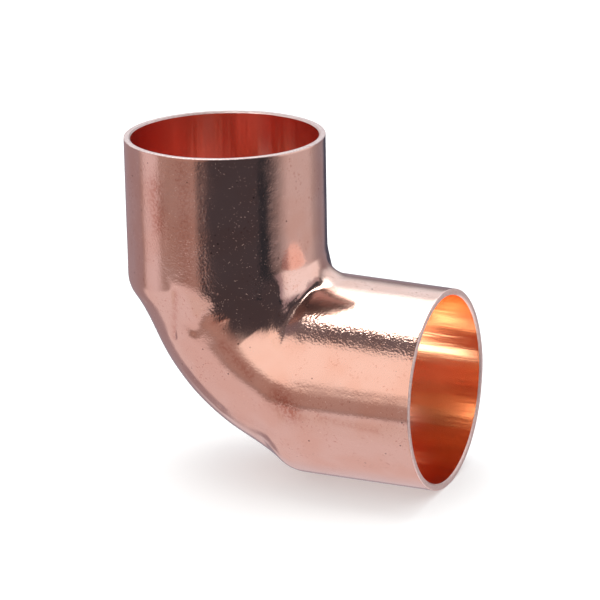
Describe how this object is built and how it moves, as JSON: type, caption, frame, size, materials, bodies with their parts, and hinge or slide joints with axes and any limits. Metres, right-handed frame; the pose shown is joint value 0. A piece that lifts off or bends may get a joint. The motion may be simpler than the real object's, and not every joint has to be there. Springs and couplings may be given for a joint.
{
  "type": "pipe elbow",
  "caption": "Short-radius 90 degree copper tube elbow with a plain solder socket at each end, joining two copper tubes at a right angle.",
  "frame": {"origin": "centre of the upright socket's tube stop, where the end of the upright tube comes to rest", "axes": "+Z out of the upright socket's mouth, +X the way the level socket faces, Y = 0 the plane of the bend"},
  "size_m": [0.0514, 0.0306, 0.0513],
  "materials": {
    "copper": "bright drawn copper, satin outside with fine pitting, clean and redder in the bores"
  },
  "bodies": {
    "root": {"elbow_body": "copper"}
  },
  "joints": []
}
